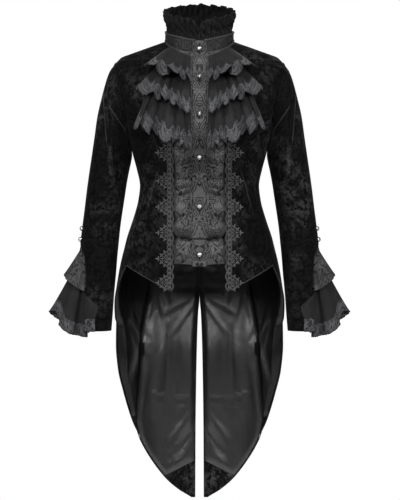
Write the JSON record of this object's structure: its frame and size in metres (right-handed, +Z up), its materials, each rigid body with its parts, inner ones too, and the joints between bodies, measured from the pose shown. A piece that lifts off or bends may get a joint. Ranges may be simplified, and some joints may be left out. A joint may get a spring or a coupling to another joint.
{
  "type": "tailcoat",
  "caption": "Fitted velvet tailcoat with a frilled stand collar, tiered jabot, ruched front panel, lace edging, long sleeves with frilled vents and two pointed tails, open and hollow as worn.",
  "frame": {"origin": "midway between the two points where a shoulder seam meets the collar, where the coat hangs from the wearer's shoulders", "axes": "+X towards the wearer's left, -Y the way the wearer faces, +Z up along the body"},
  "size_m": [0.6918, 0.2876, 1.1689],
  "materials": {
    "velvet": "black cotton velvet with a tone-on-tone floral nap",
    "satin": "black satin lining, glossy",
    "brocade": "charcoal brocade with a paisley weave",
    "chiffon": "charcoal chiffon with lace edging",
    "lace": "charcoal corded lace",
    "buttons": "polished nickel with a dark rim"
  },
  "bodies": {
    "root": {"front_left": "velvet", "front_right": "velvet", "side_front_left": "velvet", "side_front_right": "velvet", "back_left": "velvet", "back_right": "velvet", "side_back_left": "velvet", "side_back_right": "velvet", "upper_sleeve_left": "velvet", "upper_sleeve_right": "velvet", "under_sleeve_left": "velvet", "under_sleeve_right": "velvet", "lining_left": "satin", "lining_right": "satin", "side_lining_left": "satin", "side_lining_right": "satin", "vest_left": "brocade", "vest_right": "brocade", "lace_trim_left": "lace", "lace_trim_right": "lace", "jabot_upper_left": "chiffon", "jabot_upper_right": "chiffon", "jabot_middle_left": "chiffon", "jabot_middle_right": "chiffon", "jabot_lower_left": "chiffon", "jabot_lower_right": "chiffon", "cuff_frill_upper_left": "brocade", "cuff_frill_upper_right": "brocade", "cuff_frill_lower_left": "chiffon", "cuff_frill_lower_right": "chiffon", "placket": "brocade", "collar_band": "brocade", "collar_frill": "chiffon", "button_1": "buttons", "button_2": "buttons", "button_3": "buttons", "button_4": "buttons", "button_5": "buttons", "button_6": "buttons", "cuff_button_left_1": "buttons", "cuff_button_left_2": "buttons", "cuff_button_right_1": "buttons", "cuff_button_right_2": "buttons"}
  },
  "joints": []
}
